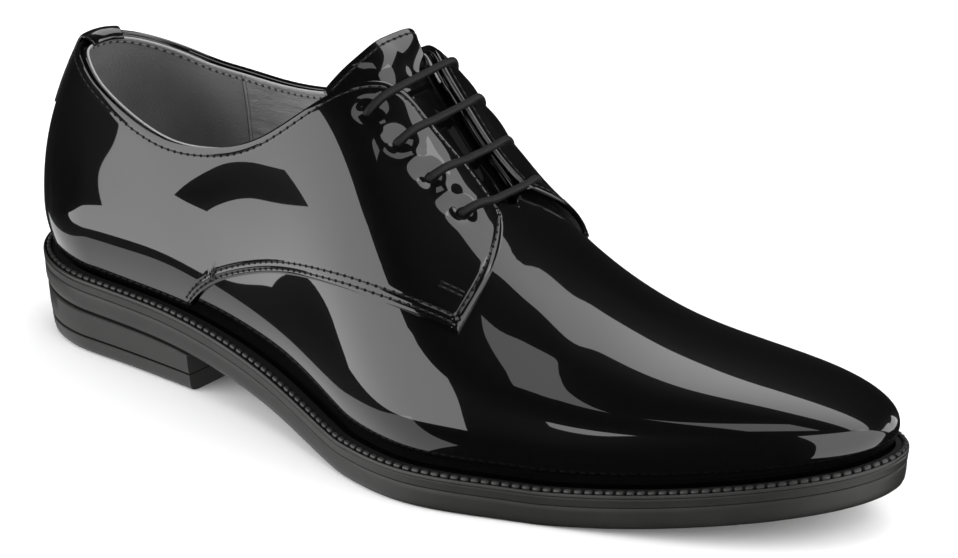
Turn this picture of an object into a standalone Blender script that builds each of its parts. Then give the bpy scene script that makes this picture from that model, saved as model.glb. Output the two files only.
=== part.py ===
"""Patent leather derby shoe for the right foot: a hollow upper on a welted rubber sole.

Metres, +X to the toe, +Y to the inner side, +Z up, origin on the floor under the middle of the shoe.
Places along the foot are stations, in metres forward from the back of the heel.
"""
import bmesh
import bpy
import numpy as np

# Driving dimensions
LENGTH = 0.304
SIDE_SHIFT = 0.001
GAP = 0.0003
SOLE_THICKNESS = 0.010
WELT_THICKNESS = 0.003
WALL = 0.002
INSOLE_THICKNESS = 0.003
QUARTER_THICKNESS = 0.0013
QUARTER_LIFT = 0.0008
TAB_THICKNESS = 0.0010
TONGUE_THICKNESS = 0.0018
LACE_DIAMETER = 0.0024
HEEL_BREAST = 0.0827
TOP_LIFT = 0.0057
FLOOR_EASE = 0.0008
GROOVE = 0.0005
WELT_RIM = 0.0004
WELT_CLEAR = 0.0006
OUTER, INNER = -1, 1
PLACE = np.array([LENGTH / 2, -SIDE_SHIFT, 0.0])

# Outsole's plan: station, half-width to the outer side, half-width to the inner side
PLAN = (
    (0.000, 0.0325, 0.0340),
    (0.040, 0.0320, 0.0345),
    (0.080, 0.0336, 0.0325),
    (0.115, 0.0377, 0.0310),
    (0.150, 0.0473, 0.0350),
    (0.185, 0.0549, 0.0430),
    (0.210, 0.0513, 0.0448),
    (0.240, 0.0487, 0.0425),
    (0.304, 0.0497, 0.0420),
)
HEEL_ROUND = 0.038
TOE_ROUND = 0.1055
TOE_SWING = 0.0172
SWING_START = 0.150

# Underside of the sole: station, height of the tread over the floor
TREAD = (
    (0.000, 0.0179),
    (0.040, 0.0152),
    (0.075, 0.0140),
    (0.100, 0.0107),
    (0.130, 0.0049),
    (0.160, -0.0003),
    (0.185, -0.0003),
    (0.215, -0.0003),
    (0.240, 0.0017),
    (0.270, 0.0065),
    (0.304, 0.0134),
)

# Side of the sole from tread to welt: inset from the plan, share of the thickness
SOLE_SIDE = (
    (0.0030, 0.00),
    (0.0012, 0.10),
    (0.0005, 0.30),
    (0.0003, 0.66),
    (0.0008, 0.70),
    (0.0003, 0.74),
    (0.0000, 1.00),
)

# Heel's layers: inset from the plan at the lower edge, side's foot, side's top and upper edge
LIFT_INSETS = (0.0042, 0.0030, 0.0024, 0.0030)
BLOCK_INSETS = (0.0030, 0.0023, 0.0014, 0.0022)

# Sections of the last: station, welt's ledge, widest line over the welt, ridge height, ridge's shift
# to the inner side, fullness of the outer side, of the inner side, tuck
LAST = (
    (0.000, 0.0034, 0.0135, 0.1240, 0.0000, -0.09, -0.09, 0.0030),
    (0.040, 0.0031, 0.0170, 0.1240, 0.0005, -0.03, -0.02, 0.0030),
    (0.080, 0.0031, 0.0175, 0.1220, 0.0025, 0.03, 0.04, 0.0030),
    (0.115, 0.0033, 0.0160, 0.1180, 0.0050, 0.04, 0.12, 0.0030),
    (0.135, 0.0030, 0.0150, 0.1125, 0.0060, 0.03, 0.16, 0.0030),
    (0.150, 0.0026, 0.0140, 0.1030, 0.0062, 0.02, 0.13, 0.0030),
    (0.165, 0.0024, 0.0135, 0.0885, 0.0060, 0.01, 0.08, 0.0030),
    (0.180, 0.0022, 0.0130, 0.0740, 0.0052, 0.00, 0.03, 0.0030),
    (0.210, 0.0020, 0.0115, 0.0528, 0.0030, 0.00, -0.01, 0.0030),
    (0.240, 0.0020, 0.0095, 0.0432, 0.0010, 0.03, 0.03, 0.0028),
    (0.270, 0.0025, 0.0070, 0.0424, 0.0002, 0.07, 0.06, 0.0022),
    (0.304, 0.0030, 0.0040, 0.0440, 0.0000, 0.10, 0.08, 0.0012),
)
HEEL_AXIS = 0.046
AXIS_BLEND = 0.010
TOE_CROWN = 0.065

# Upper edge of the quarters: station, section level on the outer side, on the inner side
TOPLINE = (
    (0.0000, 0.510, 0.510),
    (0.0180, 0.480, 0.427),
    (0.0437, 0.373, 0.352),
    (0.0583, 0.320, 0.340),
    (0.0724, 0.296, 0.336),
    (0.0908, 0.321, 0.355),
    (0.1069, 0.385, 0.408),
    (0.1200, 0.488, 0.500),
    (0.1296, 0.611, 0.608),
    (0.1378, 0.747, 0.735),
    (0.1447, 0.834, 0.825),
    (0.1570, 0.875, 0.888),
    (0.1680, 0.901, 0.915),
    (0.1830, 0.895, 0.885),
)
OPENING_MIDDLE = 0.110
TOPLINE_CORNER = 0.1447
THROAT_BACK = 0.172
THROAT_FRONT = 0.181

# Section counts of the faceted pieces
BACK_SECTIONS = 31
FRONT_SECTIONS = 15
SOLE_SECTIONS = 41
HEEL_SECTIONS = 19
QUARTER_ROWS = 12
LEVEL_SHARES = np.concatenate([np.linspace(-1, 0, 3), np.linspace(0, 1, 10)[1:]])

# Lower edge of the quarters: station, height over the floor
QUARTER_EDGE = (
    (0.0789, 0.0284),
    (0.0815, 0.0304),
    (0.0880, 0.0376),
    (0.0953, 0.0433),
    (0.1050, 0.0475),
    (0.1202, 0.0530),
    (0.1446, 0.0584),
    (0.1661, 0.0597),
    (0.1920, 0.0514),
)
QUARTER_FRONT = 0.192
QUARTER_BACK = 0.000004
QUARTER_FOOT = 0.0016
FRONT_DRAW = 8
FRONT_CURVE = 3

# Lace bars: station, section level of the outer eyelet, of the inner eyelet
EYELETS = (
    (0.1436, 0.687, 0.640),
    (0.1542, 0.713, 0.680),
    (0.1649, 0.743, 0.720),
    (0.1754, 0.771, 0.740),
)

# Tongue: its front, its top at the middle and at its sides, its sides' section level, and how far and
# over what run its top stands up behind the facings
TONGUE_FRONT = 0.188
TONGUE_TOP = 0.1318
TONGUE_TOP_SIDE = 0.1290
TONGUE_SIDE = 0.62
TONGUE_DELAY = 0.0030
TONGUE_RISE = 0.0062
TONGUE_RUN = 0.0055
TONGUE_CLEAR = 0.0012

# Pull strip on the back seam: how far it reaches round each side, and its lower end's section level
TAB_REACH = 0.0022
TAB_FOOT = 0.255


def curve_through(rows, column):
    """Natural cubic spline through one column of a table, as a function of the station."""
    table = np.array(rows, float)
    xs, ys = table[:, 0], table[:, column]
    count = len(xs)
    step = np.diff(xs)
    slope = np.diff(ys) / step
    matrix = np.eye(count)
    right = np.zeros(count)
    for i in range(1, count - 1):
        matrix[i, i - 1 : i + 2] = step[i - 1], 2 * (step[i - 1] + step[i]), step[i]
        right[i] = 6 * (slope[i] - slope[i - 1])
    bend = np.linalg.solve(matrix, right)

    def value(x):
        i = np.clip(np.searchsorted(xs, x) - 1, 0, count - 2)
        after, before = x - xs[i], xs[i + 1] - x
        cubic = (bend[i] * before**3 + bend[i + 1] * after**3) / (6 * step[i])
        start = (ys[i] / step[i] - bend[i] * step[i] / 6) * before
        end = (ys[i + 1] / step[i] - bend[i + 1] * step[i] / 6) * after
        return cubic + start + end

    return value


outer_half = curve_through(PLAN, 1)
inner_half = curve_through(PLAN, 2)
tread_curve = curve_through(TREAD, 1)
ledge = curve_through(LAST, 1)
widest = curve_through(LAST, 2)
ridge = curve_through(LAST, 3)
ridge_shift = curve_through(LAST, 4)
outer_fullness = curve_through(LAST, 5)
inner_fullness = curve_through(LAST, 6)
tuck = curve_through(LAST, 7)
outer_top = curve_through(TOPLINE, 1)
inner_top = curve_through(TOPLINE, 2)
quarter_edge = curve_through(QUARTER_EDGE, 1)


def station(q):
    """Station at loop parameter q, from 0 at the heel's back to 1 at the toe, closer at both ends."""
    return LENGTH * (0.5 - 0.5 * np.cos(np.pi * q))


def parameter(x):
    """Loop parameter at a station."""
    return np.arccos(1 - 2 * x / LENGTH) / np.pi


def tread(x):
    """Height of the sole's underside, flat on the floor under the ball of the foot."""
    return np.maximum(tread_curve(x), 0.0)


def sole_top(x):
    """Height of the sole's upper face."""
    return tread(x) + SOLE_THICKNESS


def welt_top(x):
    """Height of the welt's upper face, where the upper leaves it."""
    return sole_top(x) + WELT_THICKNESS


def swing(x):
    """Sideways bend of the foot's middle line towards the inner side at the toe."""
    t = np.clip((x - SWING_START) / (LENGTH - SWING_START), 0, 1)
    return TOE_SWING * t * t * (3 - 2 * t)


def round_end(x, start, length):
    """Quarter ellipse that closes a form over a length from a start, 1 before it and 0 at its end."""
    t = np.clip((x - start) / length, 0, 1)
    return np.sqrt(1 - t * t)


def plan_edge(q, side):
    """Point of the sole's outline in plan, going on along the other side past heel and toe."""
    side = np.where((q < 0) | (q > 1), -side, side)
    x = station(q)
    ends = round_end(-x, -HEEL_ROUND, HEEL_ROUND) * round_end(x, LENGTH - TOE_ROUND, TOE_ROUND)
    half = np.where(side == OUTER, outer_half(x), inner_half(x)) * ends
    return np.stack([x, swing(x) + side * half], -1)


def plan_normal(q, side):
    """Outward normal of the sole's outline in plan, from a short chord."""
    chord = 1e-4
    along = plan_edge(q + chord, side) - plan_edge(q - chord, side)
    along = along / np.linalg.norm(along, axis=-1, keepdims=True)
    return np.stack([-along[..., 1], along[..., 0]], -1) * side[..., None]


def outline(q, side, inset):
    """Sole's outline moved inwards by an inset."""
    return plan_edge(q, side) - plan_normal(q, side) * inset[..., None]


def last(q, level, side):
    """Point of the outer face of the upper at a section level.

    Level -1 is the feather edge at the welt, 0 the widest line and 1 the ridge. Over the widest line a
    section is a quarter ellipse swelled by the fullness, and under it a parabola that tucks in.
    Behind the heel's axis the sections fan out around that axis.
    """
    q, level, side = np.broadcast_arrays(q, level, side)
    x = station(q)
    normal = plan_normal(q, side)
    wide = outline(q, side, ledge(x))
    wide_height = welt_top(x) + widest(x)
    crown = round_end(x, LENGTH - TOE_CROWN, TOE_CROWN)
    rise = (ridge(x) - wide_height) * crown
    spine = x * (1 - LAST[-1][1] / LENGTH)
    spine = 0.5 * (spine + HEEL_AXIS + np.sqrt((spine - HEEL_AXIS) ** 2 + AXIS_BLEND**2 * (1 - x / LENGTH)))
    middle = np.stack([spine, swing(x) + ridge_shift(x)], -1)
    angle = np.clip(level, 0, 1) * np.pi / 2
    fullness = np.where(side == OUTER, outer_fullness(x), inner_fullness(x))
    swell = 1 + fullness * np.sin(2 * angle) ** 2
    down = np.clip(-level, 0, 1)
    flat = middle + (wide - middle) * (np.cos(angle) * swell)[..., None]
    flat = flat - normal * (tuck(x) * down**2)[..., None]
    height = wide_height + rise * np.sin(angle) * swell - widest(x) * down
    return np.concatenate([flat, height[..., None]], -1)


def carried_on(q, level, side):
    """Point of the last that goes on to the other side past the back seam and past the ridge."""
    crossed = np.where(q < 0, -1, 1) * np.where(level > 1, -1, 1)
    return last(np.abs(q), np.where(level > 1, 2 - level, level), side * crossed)


def lifted(q, level, side, lift):
    """Point of the last moved out along its own normal."""
    nudge = 1e-3
    along = carried_on(q + nudge, level, side) - carried_on(q - nudge, level, side)
    up = carried_on(q, level + nudge, side) - carried_on(q, np.maximum(level - nudge, -1), side)
    normal = np.cross(along, up) * -side[..., None]
    normal = normal / np.linalg.norm(normal, axis=-1, keepdims=True)
    return last(q, level, side) + normal * lift


def level_at(q, side, height):
    """Section level at a height over the floor, by halving."""
    low, high = np.full(q.shape, -1.0), np.full(q.shape, 1.0)
    for _ in range(30):
        middle = (low + high) / 2
        under = last(q, middle, side)[..., 2] < height
        low, high = np.where(under, middle, low), np.where(under, high, middle)
    return low


def quarter_low(q, side):
    """Section level of a quarter's lower edge, along the welt behind the heel breast."""
    x = station(q)
    start = QUARTER_EDGE[0][0]
    height = np.where(x < start, welt_top(x) + QUARTER_FOOT, quarter_edge(np.maximum(x, start)))
    return level_at(q, side, height)


def top_level(q, side):
    """Section level of the topline and of the facing's edge on one side."""
    x = np.minimum(station(q), TOPLINE[-1][0])
    return np.where(side == OUTER, outer_top(x), inner_top(x))


def opening_level(q, side):
    """Section level where the upper stops: topline, facing, then closing in a round throat."""
    x = station(q)
    close = round_end(x, THROAT_BACK, THROAT_FRONT - THROAT_BACK)
    return 1 - (1 - top_level(q, side)) * close


def row_level(q, side, share):
    """Section level of one of the upper's rows: its share of the height to the opening over the widest line."""
    return np.where(share < 0, share, share * opening_level(q, side))


def back_sections():
    """Loop parameters of the sections from the back seam to the throat."""
    return np.linspace(0, parameter(THROAT_FRONT), BACK_SECTIONS)


def front_sections():
    """Loop parameters of the sections from the throat to the toe."""
    return np.linspace(parameter(THROAT_FRONT), 1, FRONT_SECTIONS)


def finish(name, colour, roughness, coat=0.0):
    """Principled material of one piece."""
    material = bpy.data.materials.new(name)
    material.use_nodes = True
    shader = material.node_tree.nodes["Principled BSDF"]
    shader.inputs["Base Color"].default_value = (*colour, 1.0)
    shader.inputs["Roughness"].default_value = roughness
    shader.inputs["Coat Weight"].default_value = coat
    return material


def new_collection(name):
    """Collection linked to the scene."""
    collection = bpy.data.collections.new(name)
    bpy.context.scene.collection.children.link(collection)
    return collection


def strip_faces(rows, columns, first=0, flip=False):
    """Quads of a grid of points stored row after row."""
    i, j = np.meshgrid(np.arange(rows - 1), np.arange(columns - 1), indexing="ij")
    a = first + i * columns + j
    quads = np.stack([a, a + columns, a + columns + 1, a + 1], -1).reshape(-1, 4)
    return quads[:, ::-1] if flip else quads


def add_piece(collection, name, points, faces, material, closed=True):
    """Object from points and faces: doubles merged, a closed mesh turned to face out, shaded smooth."""
    mesh = bpy.data.meshes.new(name)
    placed = points.reshape(-1, 3) - PLACE
    mesh.from_pydata(placed.tolist(), [], [face.tolist() for face in faces])
    shape = bmesh.new()
    shape.from_mesh(mesh)
    bmesh.ops.remove_doubles(shape, verts=shape.verts, dist=1e-6)
    bmesh.ops.dissolve_degenerate(shape, edges=shape.edges, dist=1e-6)
    if closed:
        bmesh.ops.recalc_face_normals(shape, faces=shape.faces)
    shape.to_mesh(mesh)
    shape.free()
    mesh.shade_smooth()
    mesh.materials.append(material)
    piece = bpy.data.objects.new(name, mesh)
    collection.objects.link(piece)
    return piece


def thicken(piece, thickness, direction):
    """Solidify wall on an open sheet, outwards for direction 1 and inwards for -1."""
    wall = piece.modifiers.new("wall", "SOLIDIFY")
    wall.thickness = thickness
    wall.offset = direction


def slab(q_end, rows, count):
    """Solid between the two sides of the plan, from the heel's back to q_end.

    Each row gives an inset and a height as functions of the station, from the bottom up.
    """
    q = np.linspace(0, q_end, count)
    x = station(q)
    loops = []
    for side, order in ((OUTER, rows), (INNER, rows[::-1])):
        side_of = np.full(count, side)
        loops += [np.column_stack([outline(q, side_of, inset(x)), height(x)]) for inset, height in order]
    faces = strip_faces(len(loops) + 1, count)
    if q_end < 1:
        ends = np.arange(len(loops)) * count + count - 1
        left, right = ends[: len(rows)], ends[len(rows) :][::-1]
        cap = np.stack([left[:-1], left[1:], right[1:], right[:-1]], -1)
        faces = np.concatenate([faces, cap])
    return np.concatenate([*loops, loops[0]]), faces


def constant(value):
    """Function of the station that always gives one value."""
    return lambda x: np.full_like(x, value)


def make_outsole(collection, material):
    """Rubber outsole with arch, toe spring, rounded tread edge and one moulded line along its side."""
    rows = []
    for inset, share in SOLE_SIDE:
        rows.append((constant(inset), lambda x, share=share: tread(x) + share * SOLE_THICKNESS))
    points, faces = slab(1.0, rows, SOLE_SECTIONS)
    add_piece(collection, "outsole", points, faces, material)


def make_heel(collection, material):
    """Heel block under the sole and the top lift under it, parted by a groove."""
    q_breast = parameter(HEEL_BREAST)
    block_foot = TOP_LIFT + GAP
    lift_heights = (
        constant(0.0),
        constant(FLOOR_EASE),
        constant(TOP_LIFT - GROOVE),
        constant(TOP_LIFT),
    )
    block_heights = (
        constant(block_foot),
        constant(block_foot + GROOVE),
        lambda x: tread(x) - GAP - GROOVE,
        lambda x: tread(x) - GAP,
    )
    layers = (
        ("heel_top_lift", LIFT_INSETS, lift_heights),
        ("heel_block", BLOCK_INSETS, block_heights),
    )
    for name, insets, heights in layers:
        rows = [(constant(inset), height) for inset, height in zip(insets, heights)]
        points, faces = slab(q_breast, rows, HEEL_SECTIONS)
        add_piece(collection, name, points, faces, material)


def make_insole(collection, material):
    """Insole board inside the feather edge, lying on the sole."""
    def inset(x):
        return ledge(x) + tuck(x) + WALL + 2 * GAP

    rows = (
        (inset, lambda x: sole_top(x) + GAP),
        (inset, lambda x: sole_top(x) + GAP + INSOLE_THICKNESS),
    )
    points, faces = slab(1.0, rows, SOLE_SECTIONS)
    add_piece(collection, "insole", points, faces, material)


def make_welt(collection, material):
    """Welt all round the sole's edge, from its rim to just outside the feather edge."""
    count = SOLE_SECTIONS
    q = np.linspace(0, 1, count)
    x = station(q)
    inner_edge = ledge(x) + tuck(x) - WELT_CLEAR
    profile = (
        (np.zeros(count), GAP),
        (np.zeros(count), WELT_THICKNESS - WELT_RIM),
        (np.full(count, WELT_RIM), WELT_THICKNESS),
        (inner_edge, WELT_THICKNESS),
        (inner_edge, GAP),
    )
    points, faces = [], []
    for side in (OUTER, INNER):
        first = sum(len(part) for part in points)
        side_of = np.full(count, side)
        loops = [np.column_stack([outline(q, side_of, inset), sole_top(x) + z]) for inset, z in profile]
        loops.append(loops[0])
        points.append(np.concatenate(loops))
        faces.append(strip_faces(len(loops), count, first))
    add_piece(collection, "welt", np.concatenate(points), np.concatenate(faces), material)


def make_upper(collection, material):
    """Hollow upper: one wall from the sole's face up to the topline, throat and ridge, open underneath."""
    q = np.concatenate([back_sections(), front_sections()[1:]])
    points, faces = [], []
    for side in (OUTER, INNER):
        side_of = np.full(len(q), side)
        rows = [last(q, row_level(q, side_of, share), side_of) for share in LEVEL_SHARES]
        foot = rows[0].copy()
        foot[:, 2] = sole_top(station(q)) + GAP
        rows.insert(0, foot)
        first = sum(len(part) for part in points)
        grid = np.stack(rows, 1)
        points.append(grid.reshape(-1, 3))
        faces.append(strip_faces(len(q), len(rows), first, flip=side == INNER))
    points, faces = np.concatenate(points), np.concatenate(faces)
    upper = add_piece(collection, "upper", points, faces, material, closed=False)
    thicken(upper, WALL, -1)


def quarter_grid(side):
    """Loop parameters and levels over one quarter, from the back seam to the facing's front edge.

    The sections are the upper's own, drawn forward near the front edge, most at the lower edge.
    """
    q, t = np.meshgrid(back_sections(), np.linspace(0, 1, QUARTER_ROWS), indexing="ij")
    late = (q / q.max()) ** FRONT_DRAW
    q = np.maximum(q, parameter(QUARTER_BACK))
    q = q + (parameter(QUARTER_FRONT) - q.max()) * (1 - t**FRONT_CURVE) * late
    side_of = np.full(q.shape, side)
    low = quarter_low(q, side_of)
    return q, low + (top_level(q, side_of) - low) * t


def make_quarters(collection, material):
    """Quarters lapped over the upper, each cut from the upper's own form."""
    for name, side in (("quarter_outer", OUTER), ("quarter_inner", INNER)):
        q, level = quarter_grid(side)
        points = lifted(q, level, np.full(q.shape, side), QUARTER_LIFT)
        faces = strip_faces(*q.shape, flip=side == INNER)
        quarter = add_piece(collection, name, points, faces, material, closed=False)
        thicken(quarter, QUARTER_THICKNESS, 1)


def make_back_strip(collection, material):
    """Narrow strip over the back seam, on the quarters and up to the topline."""
    reach = parameter(TAB_REACH)
    lift = QUARTER_LIFT + QUARTER_THICKNESS + GAP
    points, faces = [], []
    for side in (OUTER, INNER):
        q, t = np.meshgrid(np.linspace(0, reach, 5), np.linspace(0, 1, 6), indexing="ij")
        side_of = np.full(q.shape, side)
        level = TAB_FOOT + (top_level(q, side_of) - TAB_FOOT) * t
        first = sum(len(part) for part in points)
        points.append(lifted(q, level, side_of, lift).reshape(-1, 3))
        faces.append(strip_faces(*q.shape, first, flip=side == INNER))
    points, faces = np.concatenate(points), np.concatenate(faces)
    strip = add_piece(collection, "back_strip", points, faces, material, closed=False)
    thicken(strip, TAB_THICKNESS, 1)


def leaving_station(level, side):
    """Station where a line of constant section level comes out from under the topline."""
    x = np.linspace(OPENING_MIDDLE, TOPLINE_CORNER, 60)
    return np.interp(level, top_level(parameter(x), np.full(x.shape, side)), x)


def make_tongue(collection, material):
    """Tongue under the facings, its top standing up out of the opening behind them."""
    points, faces = [], []
    for side in (OUTER, INNER):
        back, t = np.meshgrid(np.linspace(1, 0, 11), np.linspace(0, 1, 11), indexing="ij")
        level = TONGUE_SIDE + (1 - TONGUE_SIDE) * t
        top = TONGUE_TOP_SIDE + (TONGUE_TOP - TONGUE_TOP_SIDE) * t
        x = TONGUE_FRONT + (top - TONGUE_FRONT) * back
        sheet = lifted(parameter(x), level, np.full(x.shape, side), -WALL - TONGUE_CLEAR)
        out = np.maximum(leaving_station(level, side) - TONGUE_DELAY - x, 0)
        sheet[..., 2] += TONGUE_RISE * (1 - np.exp(-((out / TONGUE_RUN) ** 2)))
        first = sum(len(part) for part in points)
        points.append(sheet.reshape(-1, 3))
        faces.append(strip_faces(*x.shape, first, flip=side == INNER))
    points, faces = np.concatenate(points), np.concatenate(faces)
    tongue = add_piece(collection, "tongue", points, faces, material, closed=False)
    thicken(tongue, TONGUE_THICKNESS, -1)


def make_lace_bars(collection, material):
    """Four bars of the lace, each a round cord over both facings and straight across the gap between."""
    clear = QUARTER_LIFT + QUARTER_THICKNESS + GAP + LACE_DIAMETER / 2
    for number, (at, outer_level, inner_level) in enumerate(EYELETS, 1):
        q = np.full(4, parameter(at))
        route = []
        for side, level in ((OUTER, outer_level), (INNER, inner_level)):
            side_of = np.full(4, side)
            levels = level + (top_level(q, side_of) - level) * np.linspace(0, 1, 4)
            route.append(lifted(q, levels, side_of, clear)[::-side])
        route = np.concatenate(route) - PLACE
        curve = bpy.data.curves.new(f"lace_bar_{number}", "CURVE")
        curve.dimensions = "3D"
        curve.bevel_depth = LACE_DIAMETER / 2
        curve.bevel_resolution = 2
        curve.use_fill_caps = True
        line = curve.splines.new("POLY")
        line.points.add(len(route) - 1)
        line.points.foreach_set("co", np.column_stack([route, np.ones(len(route))]).ravel())
        curve.materials.append(material)
        collection.objects.link(bpy.data.objects.new(f"lace_bar_{number}", curve))


for old in list(bpy.data.objects):
    bpy.data.objects.remove(old, do_unlink=True)

shoe = new_collection("patent_leather_dress_shoe")
sole_rubber = finish("sole_rubber", (0.045, 0.045, 0.044), 0.45)
welt_rubber = finish("welt_rubber", (0.030, 0.030, 0.030), 0.50)
patent = finish("patent_leather", (0.006, 0.006, 0.007), 0.06, coat=1.0)
lining = finish("lining_leather", (0.120, 0.120, 0.122), 0.60)
lace_cord = finish("lace_cord", (0.020, 0.020, 0.021), 0.55)

make_outsole(shoe, sole_rubber)
make_heel(shoe, sole_rubber)
make_insole(shoe, lining)
make_welt(shoe, welt_rubber)
make_upper(shoe, patent)
make_quarters(shoe, patent)
make_back_strip(shoe, patent)
make_tongue(shoe, patent)
make_lace_bars(shoe, lace_cord)
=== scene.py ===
"""Black patent leather derby for the right foot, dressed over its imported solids.

Metres, +X to the toe, +Y to the inner side, +Z up, origin on the floor under the middle of the shoe.
Places along the foot are stations, measured forward from the back of the heel.
"""

import bmesh
import bpy
import numpy as np
from mathutils import Matrix


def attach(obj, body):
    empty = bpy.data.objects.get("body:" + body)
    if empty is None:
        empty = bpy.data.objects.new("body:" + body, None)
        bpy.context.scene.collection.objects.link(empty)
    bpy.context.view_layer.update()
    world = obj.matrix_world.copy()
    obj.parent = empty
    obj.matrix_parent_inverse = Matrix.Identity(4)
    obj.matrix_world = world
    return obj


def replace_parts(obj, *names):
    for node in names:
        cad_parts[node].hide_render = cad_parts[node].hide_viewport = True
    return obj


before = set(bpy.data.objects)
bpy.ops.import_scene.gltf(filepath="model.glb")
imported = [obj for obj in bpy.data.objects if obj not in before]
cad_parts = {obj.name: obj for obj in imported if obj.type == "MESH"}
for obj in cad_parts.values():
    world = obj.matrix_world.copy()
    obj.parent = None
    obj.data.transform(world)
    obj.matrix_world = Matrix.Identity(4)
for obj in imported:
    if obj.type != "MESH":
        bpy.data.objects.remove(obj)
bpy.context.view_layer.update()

# Outsole: one moulding of satin black rubber, 10 mm thick, with an arch and a toe spring. Its tread
# edge is rounded, and the two halves of its mould leave a fine line along the side.
LENGTH = 0.304
PLACE = np.array([LENGTH / 2, -0.001, 0.0])
OUTER, INNER = -1, 1
SOLE_THICKNESS = 0.010
HEEL_ROUND = 0.038
TOE_ROUND = 0.1055
TOE_SWING = 0.0172
SWING_START = 0.150
# station, half-width to the outer side, half-width to the inner side
PLAN = (
    (0.000, 0.0325, 0.0340),
    (0.040, 0.0320, 0.0345),
    (0.080, 0.0336, 0.0325),
    (0.115, 0.0377, 0.0310),
    (0.150, 0.0473, 0.0350),
    (0.185, 0.0549, 0.0430),
    (0.210, 0.0513, 0.0448),
    (0.240, 0.0487, 0.0425),
    (0.304, 0.0497, 0.0420),
)
# station, height of the tread over the floor
TREAD = (
    (0.000, 0.0179),
    (0.040, 0.0152),
    (0.075, 0.0140),
    (0.100, 0.0107),
    (0.130, 0.0049),
    (0.160, -0.0003),
    (0.185, -0.0003),
    (0.215, -0.0003),
    (0.240, 0.0017),
    (0.270, 0.0065),
    (0.304, 0.0134),
)
# inset from the plan, share of the thickness
SOLE_SIDE = (
    (0.0060, 0.000),
    (0.0024, 0.005),
    (0.0015, 0.030),
    (0.0010, 0.080),
    (0.0006, 0.180),
    (0.0004, 0.320),
    (0.0003, 0.560),
    (0.0003, 0.690),
    (0.0004, 0.705),
    (0.0007, 0.720),
    (0.0004, 0.735),
    (0.0002, 0.750),
    (0.0001, 0.880),
    (0.0000, 0.960),
    (0.0003, 1.000),
)
RING_STEPS = 260
MERGE = 2e-6


def curve_through(rows, column):
    """Natural cubic spline through one column of a table, as a function of the station."""
    table = np.array(rows, float)
    xs, ys = table[:, 0], table[:, column]
    count = len(xs)
    step = np.diff(xs)
    slope = np.diff(ys) / step
    matrix = np.eye(count)
    right = np.zeros(count)
    for i in range(1, count - 1):
        matrix[i, i - 1 : i + 2] = step[i - 1], 2 * (step[i - 1] + step[i]), step[i]
        right[i] = 6 * (slope[i] - slope[i - 1])
    bend = np.linalg.solve(matrix, right)

    def value(x):
        i = np.clip(np.searchsorted(xs, x) - 1, 0, count - 2)
        after, before = x - xs[i], xs[i + 1] - x
        cubic = (bend[i] * before**3 + bend[i + 1] * after**3) / (6 * step[i])
        start = (ys[i] / step[i] - bend[i] * step[i] / 6) * before
        end = (ys[i + 1] / step[i] - bend[i + 1] * step[i] / 6) * after
        return cubic + start + end

    return value


outer_half = curve_through(PLAN, 1)
inner_half = curve_through(PLAN, 2)
tread_curve = curve_through(TREAD, 1)


def station(q):
    """Station at loop parameter q: half a cosine wave from the heel's back at 0 to the toe at 1."""
    return LENGTH * (0.5 - 0.5 * np.cos(np.pi * q))


def parameter(x):
    """Loop parameter at a station, the inverse of the half cosine wave."""
    return np.arccos(1 - 2 * x / LENGTH) / np.pi


def tread(x):
    """Height of the sole's underside: the tread spline, cut off flat at the floor."""
    return np.maximum(tread_curve(x), 0.0)


def sole_top(x):
    """Height of the sole's upper face: the tread plus the thickness."""
    return tread(x) + SOLE_THICKNESS


def swing(x):
    """Sideways bend of the foot's middle line: a smooth step up to the toe's swing."""
    t = np.clip((x - SWING_START) / (LENGTH - SWING_START), 0, 1)
    return TOE_SWING * t * t * (3 - 2 * t)


def round_end(x, start, length):
    """Quarter ellipse that closes a form over a length from a start, 1 before it and 0 at its end."""
    t = np.clip((x - start) / length, 0, 1)
    return np.sqrt(1 - t * t)


def plan_edge(q, side):
    """Sole's outline in plan: half-width splines times two round ends, about the bent middle line."""
    side = np.where((q < 0) | (q > 1), -side, side)
    x = station(q)
    ends = round_end(-x, -HEEL_ROUND, HEEL_ROUND) * round_end(x, LENGTH - TOE_ROUND, TOE_ROUND)
    half = np.where(side == OUTER, outer_half(x), inner_half(x)) * ends
    return np.stack([x, swing(x) + side * half], -1)


def plan_normal(q, side):
    """Outward normal of the outline in plan: a short chord turned by a quarter turn."""
    chord = 1e-4
    along = plan_edge(q + chord, side) - plan_edge(q - chord, side)
    along = along / np.linalg.norm(along, axis=-1, keepdims=True)
    return np.stack([-along[..., 1], along[..., 0]], -1) * side[..., None]


def outline(q, side, inset):
    """Sole's outline moved inwards along its normal by an inset."""
    return plan_edge(q, side) - plan_normal(q, side) * np.asarray(inset)[..., None]


def ring(count):
    """Loop parameters and sides once round: forward on the outer side and back on the inner."""
    t = np.linspace(-1, 1, 2 * count, endpoint=False)
    return 1 - np.abs(t), np.where(t < 0, OUTER, INNER)


def ring_rows(q, side, rows):
    """One closed loop for each row: the outline at the row's inset, lifted to the row's height."""
    x = station(q)
    loops = [np.column_stack([outline(q, side, inset + 0 * x), height(x)]) for inset, height in rows]
    return np.stack(loops)


def wrapped_faces(rows, columns, first=0):
    """Quads of a grid of points stored row after row, whose columns close on themselves."""
    i, j = np.meshgrid(np.arange(rows - 1), np.arange(columns), indexing="ij")
    here = first + i * columns + j
    after = first + i * columns + (j + 1) % columns
    return np.stack([here, after, after + columns, here + columns], -1).reshape(-1, 4)


def grid_faces(rows, columns, first=0):
    """Quads of a grid of points stored row after row."""
    i, j = np.meshgrid(np.arange(rows - 1), np.arange(columns - 1), indexing="ij")
    a = first + i * columns + j
    return np.stack([a, a + columns, a + columns + 1, a + 1], -1).reshape(-1, 4)


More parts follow.
